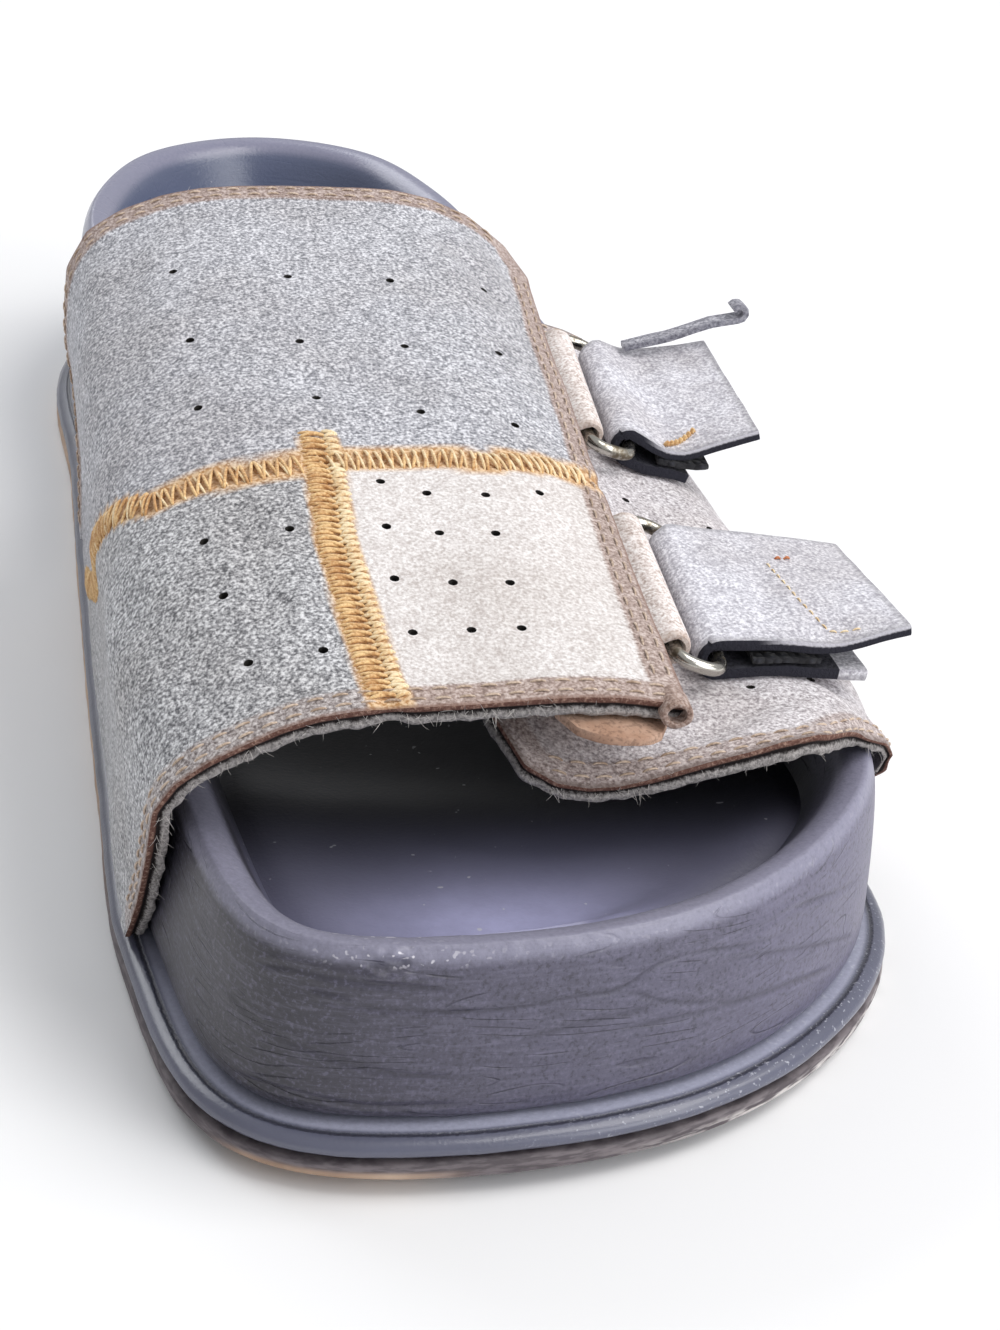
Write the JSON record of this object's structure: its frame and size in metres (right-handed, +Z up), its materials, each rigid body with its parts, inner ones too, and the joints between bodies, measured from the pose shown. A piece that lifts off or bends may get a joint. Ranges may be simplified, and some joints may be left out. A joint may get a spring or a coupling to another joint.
{
  "type": "slide sandal",
  "caption": "Left open-toe slide sandal: moulded footbed on a welted gum sole, patchwork wrap upper of two panels closed by two hook-and-loop straps through wire rings.",
  "frame": {"origin": "on the floor under the forefoot-to-heel middle of the sole, at the rest face", "axes": "+Z up from the floor, -Y to the toe, +Y to the heel, +X to the outer side of the left foot"},
  "size_m": [0.1025, 0.2709, 0.0658],
  "materials": {
    "gum_rubber": "matt gum rubber",
    "welt_rubber": "satin dark blue-grey rubber",
    "footbed_foam": "satin moulded foam skin, finely creased",
    "grey_suede": "speckled brushed suede with pinholes",
    "strap_suede": "worn grey suede",
    "tan_leather": "speckled tan suede",
    "hook_tape": "matt black hook tape",
    "aged_brass": "aged brass wire"
  },
  "bodies": {
    "root": {"outsole": "gum_rubber", "welt": "welt_rubber", "footbed": "footbed_foam", "upper_main_panel": "grey_suede", "upper_side_panel": "grey_suede", "strap_rear": "strap_suede", "strap_front": "strap_suede", "strap_rear_tail": "strap_suede", "hook_patch_rear": "hook_tape", "hook_patch_front": "hook_tape", "ring_keeper_rear": "tan_leather", "ring_keeper_front": "tan_leather", "front_tab": "tan_leather", "ring_rear": "aged_brass", "ring_front": "aged_brass"}
  },
  "joints": []
}
